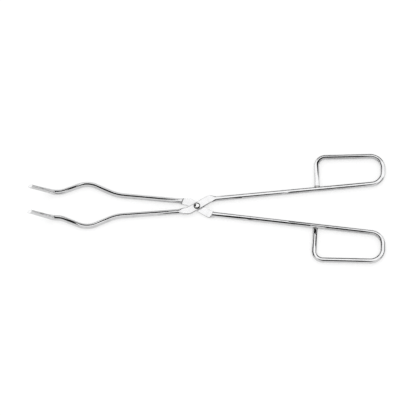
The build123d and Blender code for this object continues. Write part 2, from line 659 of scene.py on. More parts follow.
class SurfaceEffects:
    """Shader node groups that the finishes share.

    A ramp holds the two levels between which an effect rises from nothing to full.
    """

    LINE_RAMP = (0.36, 0.66)
    SCRATCH_RAMP = (0.66, 0.74)
    SCRATCH_TURNS = ((0.5, 3.1), (-0.9, 11.7))
    SCRATCH_AXIS = (0.3, 0.9, 0.3)
    MARK_RAMP = (0.38, 0.68)
    EDGE_NOISE = (0.9, -0.45)
    GATE_RAMP = (0.25, 0.75)
    MASK_RAMP = (0.02, 0.3)

    def __init__(self) -> None:
        """Builds each group once."""
        self.draw_lines = self._draw_lines()
        self.scratches = self._scratches()
        self.handling = self._handling()
        self.residue = self._painted_shade_and_scale()

    @staticmethod
    def _group(name: str, inputs: dict[str, str], output: str) -> tuple[Tree, NodeSketch]:
        """Starts a shader group with named sockets; each of them takes the Place too."""
        tree = bpy.data.node_groups.new(name, "ShaderNodeTree")
        add_sockets(tree, "INPUT", {"Place": "NodeSocketVector", **inputs})
        add_sockets(tree, "OUTPUT", {output: "NodeSocketFloat"})
        return tree, NodeSketch(tree)

    @staticmethod
    def _noise(sketch: NodeSketch, place: Socket, cell: Sequence[Socket], look: SocketValues) -> Socket:
        """Noise with cells of a given size along X, Y and Z."""
        scaled = sketch.vector_math("DIVIDE", place, sketch.vector(*cell))
        return sketch.add("ShaderNodeTexNoise", {"Vector": scaled, "Scale": 1.0, **look}).outputs[0]

    def _draw_lines(self) -> Tree:
        """Fine lines along the wire, left by the drawing die."""
        inputs = {"Spacing": "NodeSocketFloat", "Length": "NodeSocketFloat"}
        tree, sketch = self._group("draw_lines", inputs, "Lines")
        given = sketch.add("NodeGroupInput").outputs
        cell = (given["Spacing"], given["Spacing"], given["Length"])
        noise = self._noise(sketch, given["Place"], cell, {"Detail": 3.0})
        sketch.add("NodeGroupOutput", {"Lines": sketch.ramp(noise, *self.LINE_RAMP)})
        return tree

    def _scratches(self) -> Tree:
        """Sparse hairline scratches in two directions."""
        inputs = {"Width": "NodeSocketFloat", "Length": "NodeSocketFloat"}
        tree, sketch = self._group("hairline_scratches", inputs, "Scratches")
        given = sketch.add("NodeGroupInput").outputs
        cell = (given["Width"], given["Width"], given["Length"])
        layers = []
        for turn, shift in self.SCRATCH_TURNS:
            turned = sketch.add(
                "ShaderNodeVectorRotate",
                {"Vector": given["Place"], "Angle": turn, "Axis": self.SCRATCH_AXIS},
                rotation_type="AXIS_ANGLE",
            )
            moved = sketch.vector_math("ADD", turned.outputs[0], (shift, shift, shift))
            noise = self._noise(sketch, moved, cell, {"Detail": 1.0})
            layers.append(sketch.ramp(noise, *self.SCRATCH_RAMP))
        sketch.add("NodeGroupOutput", {"Scratches": sketch.math("MAXIMUM", *layers)})
        return tree

    def _handling(self) -> Tree:
        """Broad soft patches, left by handling and cleaning."""
        tree, sketch = self._group("handling_marks", {"Patch Size": "NodeSocketFloat"}, "Marks")
        given = sketch.add("NodeGroupInput").outputs
        cell = (given["Patch Size"],) * 3
        noise = self._noise(sketch, given["Place"], cell, {"Detail": 4.0, "Distortion": 0.6})
        sketch.add("NodeGroupOutput", {"Marks": sketch.ramp(noise, *self.MARK_RAMP)})
        return tree

    def _painted_shade_and_scale(self) -> Tree:
        """A mask for painted shade and weld scale, with its edge broken up."""
        inputs = {"Mask": "NodeSocketFloat", "Grain Size": "NodeSocketFloat"}
        tree, sketch = self._group("residue", inputs, "Residue")
        given = sketch.add("NodeGroupInput").outputs
        noise = self._noise(sketch, given["Place"], (given["Grain Size"],) * 3, {"Detail": 4.0})
        uneven = sketch.math("MULTIPLY_ADD", noise, *self.EDGE_NOISE)
        ragged = sketch.math("ADD", given["Mask"], uneven)
        gate = sketch.ramp(ragged, *self.GATE_RAMP)
        share = sketch.math("MULTIPLY", gate, sketch.ramp(given["Mask"], *self.MASK_RAMP))
        sketch.add("NodeGroupOutput", {"Residue": share})
        return tree


@dataclass(frozen=True)
class SteelFinish:
    """A finish of the tongs' steel. Lengths are in millimetres on the surface."""

    name: str
    colour: Colour
    # Colour and roughness of the dark mark: painted shade on the wire, teeth and rivet, weld scale on the
    # weld.
    painted_shade_and_scale_colour: Colour
    roughness: float
    line_roughness: float
    handling_roughness: float
    line_spacing: float
    line_length: float
    relief: float
    pressed_roughness: float = 0.0
    scratch_roughness: float = 0.1
    painted_shade_and_scale_roughness: float = 0.35
    scratch_width: float = 0.16
    scratch_length: float = 6.0
    patch_size: float = 9.0
    grain_size: float = 0.5
    dulled_share: float = 0.9
    metal_loss: float = 0.6
    line_relief: float = 1.0
    dimple_size: float = 1.6
    dimple_relief: float = 0.0

    def material(self, effects: SurfaceEffects) -> Material:
        """Builds the finish as a procedural material.

        Args:
            effects: The shared shader groups.

        Returns:
            The material.
        """
        material, sketch = blank_material(self.name)
        place = sketch.add("ShaderNodeAttribute", attribute_name="unbent").outputs["Vector"]
        pressed = sketch.add("ShaderNodeAttribute", attribute_name="pressed").outputs["Fac"]
        mask = sketch.add("ShaderNodeAttribute", attribute_name="residue").outputs["Fac"]
        lines, scratches, marks, residue, dimples = (
            sketch.add("ShaderNodeGroup", {"Place": place, **sizes}, node_tree=group).outputs[0]
            for group, sizes in (
                (effects.draw_lines, {"Spacing": self.line_spacing, "Length": self.line_length}),
                (effects.scratches, {"Width": self.scratch_width, "Length": self.scratch_length}),
                (effects.handling, {"Patch Size": self.patch_size}),
                (effects.residue, {"Mask": mask, "Grain Size": self.grain_size}),
                (effects.handling, {"Patch Size": self.dimple_size}),
            )
        )

        worn = self.roughness
        for share, amount in (
            (lines, self.line_roughness),
            (scratches, self.scratch_roughness),
            (marks, self.handling_roughness),
            (pressed, self.pressed_roughness),
        ):
            worn = sketch.math("MULTIPLY_ADD", share, amount, worn)
        # Where the dark mark lies the steel turns rougher, darker and less metallic: painted shade in
        # crevices and grooves, and weld scale.
        rough = sketch.math("MULTIPLY_ADD", residue, self.painted_shade_and_scale_roughness, worn, clamp=True)

        dulled = tuple(channel * self.dulled_share for channel in self.colour)
        steel = sketch.blend(marks, (*self.colour, 1.0), (*dulled, 1.0))
        coloured = sketch.blend(residue, steel, (*self.painted_shade_and_scale_colour, 1.0))
        metal = sketch.math("MULTIPLY_ADD", residue, -self.metal_loss, 1.0)

        ridges = sketch.math("MULTIPLY", lines, self.line_relief)
        scored = sketch.math("SUBTRACT", ridges, scratches)
        height = sketch.math("MULTIPLY_ADD", dimples, self.dimple_relief, scored)
        bump = sketch.add("ShaderNodeBump", {"Strength": 1.0, "Distance": self.relief * MM, "Height": height})
        shader = sketch.add(
            "ShaderNodeBsdfPrincipled",
            {"Base Color": coloured, "Metallic": metal, "Roughness": rough, "Normal": bump.outputs[0]},
        )
        sketch.add("ShaderNodeOutputMaterial", {"Surface": shader.outputs[0]})
        return material


POLISHED_WIRE = SteelFinish(
    name="polished_wire",
    colour=(0.60, 0.60, 0.605),
    # Near black: painted shade round the rivet head and at the shoulders' foot, and with weld scale at the
    # leg's end.
    painted_shade_and_scale_colour=(0.035, 0.033, 0.031),
    roughness=0.07,
    pressed_roughness=0.08,
    line_roughness=0.04,
    handling_roughness=0.04,
    line_spacing=0.22,
    line_length=26.0,
    relief=0.0015,
)
PRESSED_TEETH = SteelFinish(
    name="pressed_teeth",
    colour=(0.58, 0.58, 0.58),
    # Near black: painted shade between the teeth.
    painted_shade_and_scale_colour=(0.05, 0.047, 0.044),
    roughness=0.2,
    line_roughness=0.05,
    handling_roughness=0.08,
    line_spacing=0.18,
    line_length=2.0,
    relief=0.004,
)
RIVET_STEEL = SteelFinish(
    name="domed_rivet",
    colour=(0.62, 0.62, 0.62),
    # Near black: painted shade at the rim of the head.
    painted_shade_and_scale_colour=(0.03, 0.028, 0.026),
    roughness=0.12,
    line_roughness=0.03,
    handling_roughness=0.05,
    line_spacing=0.3,
    line_length=0.6,
    relief=0.01,
    line_relief=0.1,
    dimple_size=1.1,
    dimple_relief=1.6,
)
WELD_GREY = SteelFinish(
    name="weld_grey",
    colour=(0.40, 0.395, 0.39),
    painted_shade_and_scale_colour=(0.045, 0.042, 0.04),
    roughness=0.36,
    line_roughness=0.06,
    scratch_roughness=0.05,
    handling_roughness=0.1,
    line_spacing=0.25,
    line_length=0.4,
    relief=0.03,
    line_relief=0.5,
    dimple_size=0.7,
    dimple_relief=1.0,
)


@dataclass
class Arm:
    """One arm: jaw tip, bent wire, half-lapped pad and finger loop."""

    side: Side
    wire: WireSizes = field(default_factory=WireSizes)
    jaw: JawSizes = field(default_factory=JawSizes)
    tip: TipSizes = field(default_factory=TipSizes)
    lap: LapSizes = field(default_factory=LapSizes)
    rivet: RivetSizes = field(default_factory=RivetSizes)
    weld: WeldSizes = field(default_factory=WeldSizes)
    plain_step: float = 2.0
    bend_step: float = math.radians(2.5)
    lap_step: float = 0.3
    shoulder_step: float = 0.12
    tip_step: float = 0.4
    closest_rings: float = 0.02

    def __post_init__(self) -> None:
        """Lays out the centre line and the places along it."""
        self.loop = LOOPS[self.side]
        self.path = BentPath(self._corners(), self._radii())
        self.tip_start = (self.tip_start_point() - self.tip_end_point()).length
        self.pivot = self.path.nearest_to_origin()

    def point(self, reach: float, offset: float, height: float = 0.0) -> Vector:
        """A point at a height above the plane of the wires' centres; offset is towards the arm's handle."""
        return Vector((reach, self.side.value * offset, self.wire.radius + height))

    def blade_point(self, distance: float) -> Vector:
        """A point on the slanted blade, at a distance behind the pivot."""
        angle = math.radians(self.lap.blade_angle)
        return self.point(distance * math.cos(angle), distance * math.sin(angle))

    def knee_point(self) -> Vector:
        """Corner where the tip turns up, on the straight line from root to tip in plan."""
        share = self.jaw.knee_run / (self.jaw.knee_run + self.tip.run)
        return self.point(-self.jaw.knee_reach, -mix(self.jaw.root_offset, self.tip.offset, share))

    def tip_end_point(self) -> Vector:
        """End of the tip's axis."""
        rise = self.tip.run * math.tan(math.radians(self.tip.angle))
        return self.point(-self.jaw.knee_reach - self.tip.run, -self.tip.offset, rise)

    def tip_start_point(self) -> Vector:
        """Where the round wire ends and the flattened tip begins, just past the knee."""
        knee_length = self.jaw.knee_radius * math.tan(math.radians(self.tip.angle) / 2)
        outward = (self.tip_end_point() - self.knee_point()).normalized()
        return self.knee_point() + outward * (knee_length + self.tip.straight_length)

    def handle_point(self, reach: float) -> Vector:
        """A point on the straight run from the blade to the finger loop."""
        start = self.blade_point(self.lap.rear_blade)
        spread = (reach - start.x) * math.tan(math.radians(self.loop.handle_angle))
        return self.point(reach, abs(start.y) + spread)

    def leg_points(self) -> tuple[Vector, Vector]:
        """Where the leg's axis meets the handle's centre line, and the loop's corner above it."""
        foot = self.handle_point(self.loop.leg_reach)
        drift = (self.loop.front_offset - abs(foot.y)) * math.tan(math.radians(self.loop.leg_lean))
        return foot, self.point(self.loop.leg_reach - drift, self.loop.front_offset)

    def leg_end_point(self) -> Vector:
        """Centre of the leg's flat end."""
        foot, corner = self.leg_points()
        upward = (corner - foot).normalized()
        crossing = upward.angle(self.handle_point(self.loop.end_reach) - foot)
        return foot + upward * ((self.wire.radius + self.weld.root_gap) / math.sin(crossing))

    def _corners(self) -> list[Vector]:
        """The centre line's corners, from the jaw tip's end to the leg's end."""
        return [
            self.tip_end_point(),
            self.knee_point(),
            self.point(-self.jaw.root_reach, -self.jaw.root_offset),
            self.point(-self.jaw.bow_reach, -self.jaw.bow_offset),
            self.point(-self.jaw.waist_reach, -self.jaw.waist_offset),
            self.blade_point(-self.lap.front_blade),
            self.blade_point(self.lap.rear_blade),
            self.handle_point(self.loop.end_reach),
            self.point(self.loop.end_reach, self.loop.rear_offset),
            self.leg_points()[1],
            self.leg_end_point(),
        ]

    def _radii(self) -> list[float]:
        """The bend radius at each inner corner."""
        return [
            self.jaw.knee_radius,
            self.jaw.root_radius,
            self.jaw.bow_radius,
            self.jaw.waist_radius,
            self.lap.blade_radius,
            self.lap.blade_radius,
            self.loop.end_radius,
            self.loop.end_radius,
            self.loop.corner_radius,
        ]

    def grooves(self) -> list[float]:
        """Distances of the tip's grooves, measured from where the tip starts."""
        first = self.tip.face_setback + self.tip.groove_margin
        count = 1 + int((self.tip_start - self.tip.groove_margin - first) / self.tip.groove_pitch)
        return [first + index * self.tip.groove_pitch for index in range(count)]

    def ring_distances(self) -> np.ndarray:
        """Where the wire gets a ring of vertices: closer together where the shape changes."""
        rings = self.path.even_rings(self.plain_step, self.bend_step)
        front = self.pivot - self.lap.front_shoulder - self.lap.fade_length - self.lap.settle_length
        rear = self.pivot + self.lap.rear_shoulder + self.lap.fade_length + self.lap.settle_length
        rings += list(np.arange(front, rear, self.lap_step))
        for shoulder in (-self.lap.front_shoulder, self.lap.rear_shoulder):
            middle = self.pivot + shoulder
            band = self.lap.shoulder_band
            rings += list(np.arange(middle - band, middle + band, self.shoulder_step))
        rings += list(np.arange(0.0, self.tip_start, self.tip_step))
        rings += self._face_rings()
        rings += rounding_steps(self.tip.end_rounding, self.tip.end_rings)
        leg_rings = rounding_steps(self.weld.end_rounding, self.weld.end_rings)
        leg_rings += list(np.arange(self.weld.leg_step, 2 * self.weld.upset_length, self.weld.leg_step))
        rings += [self.path.length - ring for ring in leg_rings]
        ordered = sorted(rings)
        kept = [ordered[0]]
        for ring in ordered[1:]:
            if ring - kept[-1] >= self.closest_rings:
                kept.append(ring)
        kept[-1] = self.path.length
        return np.array(kept)

    def _face_rings(self) -> list[float]:
        """Rings at the face's setback and at the edges of its toothed stretch."""
        grooves = self.grooves()
        half = self.tip.groove_depth
        setback = self.tip.face_setback
        marks = list(np.linspace(setback - self.tip.face_ramp, setback, self.tip.ramp_rings))
        marks += [grooves[0] - half, grooves[0], grooves[-1], grooves[-1] + half]
        return [self.tip_start - mark for mark in marks]

    def even_angles(self) -> np.ndarray:
        """Angles of a ring's vertices, from the wire's underside round by its left side."""
        return -math.pi / 2 + np.arange(self.wire.facets) * 2 * math.pi / self.wire.facets

    def round_section(self, radius: float) -> np.ndarray:
        """A round section, as across and over for each vertex."""
        angles = self.even_angles()
        return radius * np.stack((np.cos(angles), np.sin(angles)), axis=1)

    def lap_half_width(self, offset: float) -> float:
        """Half the pad's width at an offset behind the pivot."""
        bend = self.lap.rear_blade if offset > 0 else self.lap.front_blade
        end = self.lap.shoulder_at(offset) + self.lap.fade_length
        share = float(np.clip((abs(offset) - bend) / (end - bend), 0.0, 1.0))
        return mix(self.lap.pad_width / 2, self.wire.radius, share)

    def lap_section(self, station: Station) -> np.ndarray:
        """The pad's section, which turns into the round wire past each shoulder.

        The vertices run from the middle of the face towards the other arm, round one side, over
        the outer face and back. Past the fade they spread out evenly round the wire.

        Args:
            station: The place on the centre line.

        Returns:
            Across and over for each vertex, with the pad on the wire's upper half.
        """
        offset = station.distance - self.pivot
        lap = self.lap
        shoulder = lap.shoulder_at(offset)
        fade_end = shoulder + lap.fade_length
        radius = self.wire.radius
        half_width = self.lap_half_width(offset)
        floor = lap.clearance / 2
        fade = smooth_step(shoulder - lap.fade_lead, fade_end, abs(offset))
        rim = min(mix(lap.rim_radius, radius - floor, fade), half_width - lap.least_land)
        spare = max(half_width - radius, 0.0)
        edge = min(lap.edge_radius, lap.edge_share * spare + lap.least_edge)

        others = lap.ledge_points + lap.corner_points + lap.rim_points + lap.top_points
        swing = np.linspace(0.0, math.radians(lap.face_swing), self.wire.facets // 2 + 1 - others)
        under_across = radius * np.sin(swing)
        ledge_across = np.linspace(under_across[-1], half_width - edge, lap.ledge_points + 1)[1:]
        corner = np.linspace(-math.pi / 2, 0.0, lap.corner_points)
        turn = np.linspace(0.0, math.pi / 2, lap.rim_points)
        top_across = np.linspace(half_width - rim, 0.0, lap.top_points + 1)[1:]

        across = np.concatenate((
            under_across,
            ledge_across,
            half_width - edge + edge * np.cos(corner),
            half_width - rim + rim * np.cos(turn),
            top_across,
        ))
        over = np.concatenate((
            np.full(len(under_across), floor),
            np.full(len(ledge_across), floor),
            floor + edge + edge * np.sin(corner),
            radius - rim + rim * np.sin(turn),
            np.full(len(top_across), radius),
        ))
        across = np.concatenate((across, -across[-2:0:-1]))
        over = np.concatenate((over, over[-2:0:-1]))

        plan_x = station.centre.x + across * station.across.x
        plan_y = station.centre.y + across * station.across.y
        open_share = smooth_step(shoulder, shoulder + lap.shoulder_wall, np.hypot(plan_x, plan_y))
        wire_underside = -np.sqrt(np.clip(radius**2 - across**2, 0.0, None))
        under = np.abs(across) <= under_across[-1] + TOUCHING
        on_floor = under & (over <= floor + TOUCHING)
        over = np.where(on_floor, mix(over, wire_underside, open_share), over)

        settle = smooth_step(fade_end, fade_end + lap.settle_length, abs(offset))
        if settle > 0.0:
            angles = mix(np.unwrap(np.arctan2(over, across)), self.even_angles(), settle)
            return radius * np.stack((np.cos(angles), np.sin(angles)), axis=1)
        return np.stack((across, over), axis=1)

    def tip_section(self, station: Station) -> np.ndarray:
        """The flattened tip's section, with its pressed face towards the other jaw.

        Args:
            station: The place on the centre line.

        Returns:
            Across and over for each vertex.
        """
        depth = self.tip_start - station.distance
        blend = smooth_step(0.0, self.tip.blend_length, depth)
        taper = np.clip((depth - self.tip.blend_length) / (self.tip_start - self.tip.blend_length), 0, 1)
        half_thick, half_wide = (
            mix(self.wire.radius, mix(root, end, taper) / 2, blend)
            for root, end in (
                (self.tip.root_thickness, self.tip.end_thickness),
                (self.tip.root_width, self.tip.end_width),
            )
        )
        ease = self._end_inset(station.distance, self.tip.end_rounding)

        pressed = smooth_step(self.tip.face_setback - self.tip.face_ramp, self.tip.face_setback, depth)
        level = mix(half_thick, min(self.tip.face_depth, half_thick), pressed)
        grooves = self.grooves()
        slope = min(depth - grooves[0], grooves[-1] - depth) + self.tip.groove_depth
        level -= float(np.clip(slope, 0.0, self.tip.groove_depth))

        count = self.wire.facets
        even = np.arange(-count // 2, count // 2)
        even_face = 2 * math.pi * self.tip.face_columns / count
        face_angle = math.acos(min(level / half_thick, 1.0)) if pressed > 0 else even_face
        face_angle = mix(even_face, face_angle, pressed)
        knots = [-count / 2, -self.tip.face_columns, self.tip.face_columns, count / 2]
        angles = np.interp(even, knots, [-math.pi, -face_angle, face_angle, math.pi])
        towards = np.minimum(half_thick * np.cos(angles), level)
        width = half_wide * np.sin(angles)
        towards = np.sign(towards) * np.clip(np.abs(towards) - ease, self.tip.least_half, None)
        shrink = (half_wide - ease) / half_wide
        return self._aligned(np.stack((towards * self.side.value, width * shrink), axis=1))

    def _turned_over(self, section: np.ndarray) -> np.ndarray:
        """Turns a section upside down, with its vertices in the same order as before."""
        count = self.wire.facets
        return section[(count // 2 - np.arange(count)) % count] * (1.0, -1.0)

    def _aligned(self, section: np.ndarray) -> np.ndarray:
        """Orders a section's vertices as the round section has them."""
        turn = np.unwrap(np.arctan2(section[:, 1], section[:, 0]))
        if turn[-1] < turn[0]:
            section = section[::-1]
        lowest = int(np.argmin(section[:, 1]))
        return np.roll(section, -lowest, axis=0)

    @staticmethod
    def _end_inset(distance: float, rounding: float) -> float:
        """How far a rounded end pulls in at a distance from the end face."""
        if distance >= rounding:
            return 0.0
        return rounding - math.sqrt(rounding**2 - (rounding - distance) ** 2)

    def leg_section(self, station: Station) -> np.ndarray:
        """The round section at the leg's end, spread sideways by the weld and eased at its edge."""
        from_end = self.path.length - station.distance
        swell = self.weld.leg_upset * math.exp(-((from_end / self.weld.upset_length) ** 2))
        eased = self.round_section(self.wire.radius - self._end_inset(from_end, self.weld.end_rounding))
        return eased * (1.0 + swell / self.wire.radius, 1.0)

    def section(self, station: Station) -> np.ndarray:
        """The section at a station, as across and over for each vertex."""
        offset = station.distance - self.pivot
        if abs(offset) < self.lap.shoulder_at(offset) + self.lap.fade_length + self.lap.settle_length:
            pad = self.lap_section(station)
            return pad if self.side is Side.UPPER else self._turned_over(pad)
        if station.distance < self.tip_start:
            return self.tip_section(station)
        return self.leg_section(station)

    def wire_blank(self, stations: Sequence[Station], tree: Tree) -> Mesh:
        """Sweeps the round wire along the centre line with the sweep tree.

        Args:
            stations: The places that get a ring of vertices.
            tree: The geometry tree that sweeps a wire.

        Returns:
            The round wire, in metres.
        """
        curve = bpy.data.curves.new("centre_line", "CURVE")
        curve.dimensions = "3D"
        spline = curve.splines.new("POLY")
        spline.points.add(len(stations) - 1)
        for point, station in zip(spline.points, stations):
            point.co = (*(station.centre * MM), 1.0)
        carrier = placed_object("centre_line", curve)
        return grown_mesh(carrier, tree, {"Wire Radius": self.wire.radius * MM, "Facets": self.wire.facets})

    def forged_mesh(self, sweep_tree: Tree) -> Mesh:
        """Presses the lap, the tip and the leg's end into the swept wire.

        Args:
            sweep_tree: The geometry tree that sweeps a wire.

        Returns:
            The arm without its rivet hole, in metres.
        """
        stations = [self.path.station(distance) for distance in self.ring_distances()]
        mesh = self.wire_blank(stations, sweep_tree)
        facets = self.wire.facets
        found = vertex_places(mesh).reshape(len(stations), facets, 3)

        centres = np.array([station.centre for station in stations])
        across = np.array([station.across for station in stations])
        over = np.array([station.over for station in stations])
        arm = found - centres[:, None, :]
        angle = np.arctan2(np.einsum("rvk,rk->rv", arm, over), np.einsum("rvk,rk->rv", arm, across))
        order = np.round((angle + math.pi / 2) / (2 * math.pi) * facets).astype(int) % facets

        sections = np.array([self.section(station) for station in stations])
        picked = np.take_along_axis(sections, order[:, :, None], axis=1)
        places = (
            centres[:, None, :]
            + picked[:, :, :1] * across[:, None, :]
            + picked[:, :, 1:] * over[:, None, :]
        )
        mesh.vertices.foreach_set("co", (places * MM).ravel())

        distances = np.array([station.distance for station in stations])
        even = self.even_angles()[order]
        along = np.broadcast_to(distances[:, None], even.shape)
        unbent = np.stack((self.wire.radius * np.cos(even), self.wire.radius * np.sin(even), along), axis=2)
        pressed = self._pressed_mask(distances, places)
        mark_surface(mesh, unbent, pressed, self._painted_shade_and_scale_mask(distances, places))
        return mesh

    def _pressed_mask(self, distances: np.ndarray, places: np.ndarray) -> np.ndarray:
        """1 where a press has flattened the wire."""
        offset = distances - self.pivot
        front, rear = self.lap.front_shoulder, self.lap.rear_shoulder
        lap = smooth_step(-front - self.lap.press_fade, -front, offset)
        lap *= 1 - smooth_step(rear, rear + self.lap.press_fade, offset)
        tip = 1 - smooth_step(self.tip_start - self.tip.face_setback, self.tip_start, distances)
        return np.broadcast_to(np.maximum(lap, tip)[:, None], places.shape[:2])

    def _painted_shade_and_scale_mask(self, distances: np.ndarray, places: np.ndarray) -> np.ndarray:
        """Painted shade round the rivet head and at the foot of the shoulders, and at the leg's end weld
        scale with painted shade of the seam gap.
        """
        reach = np.hypot(places[:, :, 0], places[:, :, 1])
        head = self.rivet.head_diameter / 2
        # Painted shade in the crevice round the rivet head.
        ring = smooth_step(head + PAINTED_SHADE_AND_SCALE.ring_outer, head + PAINTED_SHADE_AND_SCALE.ring_inner, reach)
        offset = distances - self.pivot
        shoulders = np.where(offset > 0, self.lap.rear_shoulder, self.lap.front_shoulder)[:, None]
        # Painted shade in the crease at the foot of each shoulder.
        foot = np.exp(-(((reach - shoulders - PAINTED_SHADE_AND_SCALE.foot_offset) / PAINTED_SHADE_AND_SCALE.foot_width) ** 2))
        height = np.abs(places[:, :, 2] - self.wire.radius)
        facing = height < PAINTED_SHADE_AND_SCALE.facing_share * self.wire.diameter
        near_lap = (np.abs(offset) < PAINTED_SHADE_AND_SCALE.lap_reach)[:, None]
        # Weld scale with painted shade of the seam gap, at the leg's end.
        leg = smooth_step(self.path.length - PAINTED_SHADE_AND_SCALE.leg_run, self.path.length, distances)[:, None]
        return np.maximum(np.maximum(ring, foot * facing) * near_lap, PAINTED_SHADE_AND_SCALE.leg_share * leg)

    def drilled(self, item: Item) -> None:
        """Cuts the rivet hole through the pad: a running fit in the upper arm, countersunk in the lower."""
        shank = self.rivet.diameter / 2
        bottom, top = -self.rivet.drill_overrun, 2 * self.wire.diameter
        if self.side is Side.UPPER:
            radius = shank + self.rivet.running_fit
            profile = [(radius, bottom), (radius, top)]
        else:
            radius = shank + self.rivet.tight_fit
            mouth = shank + self.rivet.tail_flare + self.rivet.tight_fit
            recess = self.rivet.tail_recess
            seat = recess + self.rivet.tail_depth
            profile = [(mouth, bottom), (mouth, recess), (radius, seat), (radius, top)]
        drill = placed_object("drill", turned_solid(profile, self.rivet.segments))
        cut = item.modifiers.new("rivet_hole", "BOOLEAN")
        cut.operation = "DIFFERENCE"
        cut.solver = "EXACT"
        cut.object = drill
        depsgraph = bpy.context.evaluated_depsgraph_get()
        bored = bpy.data.meshes.new_from_object(item.evaluated_get(depsgraph), depsgraph=depsgraph)
        item.modifiers.remove(cut)
        item.data = bored
        bpy.data.objects.remove(drill)

    def build_wire(self, sweep_tree: Tree, material: Material) -> Item:
        """Makes the arm's wire and dresses it.

        Args:
            sweep_tree: The geometry tree that sweeps a wire.
            material: The wire's finish.

        Returns:
            The finished piece, riding on its body.
        """
        item = placed_object(f"{self.side.word}_arm_wire", self.forged_mesh(sweep_tree))
        self.drilled(item)
        dress(item.data, material)
        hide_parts(f"{self.side.word}_arm")
        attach(item, self.side.body)
        log.info("%s: %d faces, wire length %.0f mm", item.name, len(item.data.polygons), self.path.length)
        return item

    def tooth_blank(self) -> Mesh:
        """One tooth of unit half width: a ridge with a rounded crest, its length along Y."""
        half_pitch = self.tip.groove_pitch / 2
        base = self.tip.face_depth - self.tip.groove_depth
        crest = self.tip.face_depth
        land = half_pitch - self.tip.groove_depth
        ease = self.tip.crest_rounding
        slant = ease * math.sqrt(0.5)
        inward, outward = self.tip.crest_shares
        flank = [
            (base - self.tip.tooth_root, half_pitch),
            (base, half_pitch),
            (crest - slant, land + slant),
            (crest - inward * slant, land + outward * slant),
            (crest, land - ease),
        ]
        outline = [(x, -z) for x, z in flank] + flank[::-1]
        shares = np.linspace(-1.0, 1.0, self.tip.tooth_rows)
        builder = bmesh.new()
        rows = [[builder.verts.new((x * MM, share * MM, z * MM)) for x, z in outline] for share in shares]
        for row, following in zip(rows, rows[1:]):
            for index in range(len(outline)):
                after = (index + 1) % len(outline)
                builder.faces.new((row[index], row[after], following[after], following[index]))
        builder.faces.new(rows[0][::-1])
        builder.faces.new(rows[-1])
        return built_mesh("tooth", builder, outward=True)

    def build_teeth(self, teeth_tree: Tree, material: Material) -> Item:
        """Makes the ridges between the grooves of the tip's face.

        Args:
            teeth_tree: The geometry tree that repeats a tooth along a tip.
            material: The teeth's finish.

        Returns:
            The finished piece, riding on its body.
        """
        grooves = self.grooves()
        lengths = {
            "First Tooth": grooves[0] + self.tip.groove_pitch / 2,
            "Pitch": self.tip.groove_pitch,
            "Taper Start": self.tip.blend_length,
            "Tip Length": self.tip_start,
            "Root Thickness": self.tip.root_thickness,
            "End Thickness": self.tip.end_thickness,
            "Root Width": self.tip.root_width,
            "End Width": self.tip.end_width,
        }
        values = {name: length * MM for name, length in lengths.items()}
        carrier = placed_object("tooth", self.tooth_blank())
        mesh = grown_mesh(carrier, teeth_tree, {"Teeth": len(grooves) - 1, **values})
        start = self.tip_start_point()
        outward = (self.tip_end_point() - start).normalized()
        towards = Vector((0.0, self.side.value, 0.0))
        towards = (towards - outward * towards.dot(outward)).normalized()
        width = outward.cross(towards)
        basis = Matrix((towards, width, outward)).transposed().to_4x4()
        mesh.transform(Matrix.Translation(start * MM) @ basis)
        places = vertex_places(mesh)
        depth = (places - np.array(start)) @ np.array(towards)
        crest = self.tip.face_depth
        # Painted shade darkens the teeth towards the groove bottoms.
        foot = smooth_step(crest - PAINTED_SHADE_AND_SCALE.tooth_top, crest - self.tip.groove_depth, depth)
        mark_surface(mesh, places[:, [0, 2, 1]], np.ones(len(places)), PAINTED_SHADE_AND_SCALE.tooth_share * foot)
        item = placed_object(f"{self.side.word}_tip_teeth", mesh)
        dress(mesh, material)
        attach(item, self.side.body)
        log.info("%s: %d teeth", item.name, len(grooves) - 1)
        return item

    def build_weld(self, material: Material) -> Item:
        """Makes the weld nugget between the leg's end and the handle wire, with its rippled bead.

        Args:
            material: The weld's finish.

        Returns:
            The finished piece, riding on its body.
        """
        foot = self.leg_points()[0]
        end = self.leg_end_point()
        inward = (foot - end).normalized()
        level = Vector((0.0, 0.0, 1.0)).cross(inward).normalized()
        reach = (foot - end).length
        angles = np.arange(self.weld.segments) * 2 * math.pi / self.weld.segments
        ripple = self.weld.ripple_height * np.cos(self.weld.ripples * angles)
        radius = self.wire.radius - self.weld.inset
        rings = []
        for share in self.weld.ring_shares:
            swell = math.sin(math.pi * min(max(share, 0.0), 1.0))
            around = radius + swell * self.weld.bead_height + ripple * swell
            height = around * np.sin(angles)
            side = around * np.cos(angles)
            flank = reach - np.sqrt(np.clip(self.wire.radius**2 - height**2, self.weld.least_flank, None))
            ring = (
                np.array(end)
                + (flank * share)[:, None] * np.array(inward)
                + side[:, None] * np.array(level)
                + height[:, None] * np.array(inward.cross(level))
            )
            rings.append(ring)
        mesh = solid_of_rings(np.array(rings), outward=True)
        places = vertex_places(mesh)
        sideways = np.abs((places - np.array(end)) @ np.array(level))
        scale = smooth_step(PAINTED_SHADE_AND_SCALE.bead_start * radius, PAINTED_SHADE_AND_SCALE.bead_end * radius, sideways)
        mark_surface(mesh, places, np.zeros(len(places)), scale)
        item = placed_object(f"{self.side.word}_loop_weld_bead", mesh)
        dress(mesh, material)
        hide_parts(f"{self.side.word}_loop_weld")
        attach(item, self.side.body)
        log.info("%s: %d ripples", item.name, self.weld.ripples)
        return item


def turned_solid(profile: Sequence[tuple[float, float]], segments: int) -> Mesh:
    """Turns a profile about the pivot axis into a closed solid.

    Args:
        profile: Radius and height of each point, from the bottom to the top, in millimetres.
        segments: Number of vertices in each ring.

    Returns:
        The solid, in metres.
    """
    angles = np.arange(segments) * 2 * math.pi / segments
    circle = np.stack((np.cos(angles), np.sin(angles), np.zeros(segments)), axis=1)
    rings = [circle * radius + (0.0, 0.0, height) for radius, height in profile]
    return solid_of_rings(np.array(rings))


